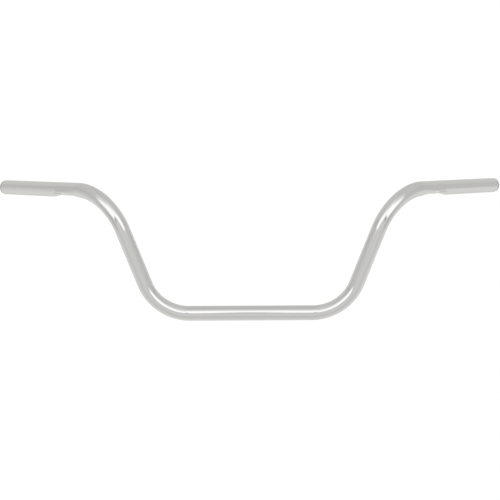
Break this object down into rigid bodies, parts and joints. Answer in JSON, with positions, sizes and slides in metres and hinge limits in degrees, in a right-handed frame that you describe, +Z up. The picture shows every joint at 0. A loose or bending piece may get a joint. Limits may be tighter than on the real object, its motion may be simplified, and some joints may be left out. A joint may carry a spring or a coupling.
{
  "type": "motorcycle handlebar",
  "caption": "Bare inch-diameter motorcycle handlebar: straight clamp section, rising legs, pulled-back grip ends with wiring dimples, and push-in end plugs.",
  "frame": {"origin": "on the tube's axis at the middle of the straight clamp section", "axes": "+X along the clamp section, towards the right-hand end seen from the front of the motorcycle's bar as drawn; +Y the way the grips are pulled back, towards the rider; +Z up, the way the legs rise, in their own plane"},
  "size_m": [0.888, 0.2147, 0.2294],
  "materials": {
    "chrome_plate": "bright chrome plate over polished bent steel tube",
    "plug_plastic": "black moulded polyethylene, fine satin grain"
  },
  "bodies": {
    "root": {"bar_tube": "chrome_plate", "end_plug_left": "plug_plastic", "end_plug_right": "plug_plastic"}
  },
  "joints": []
}
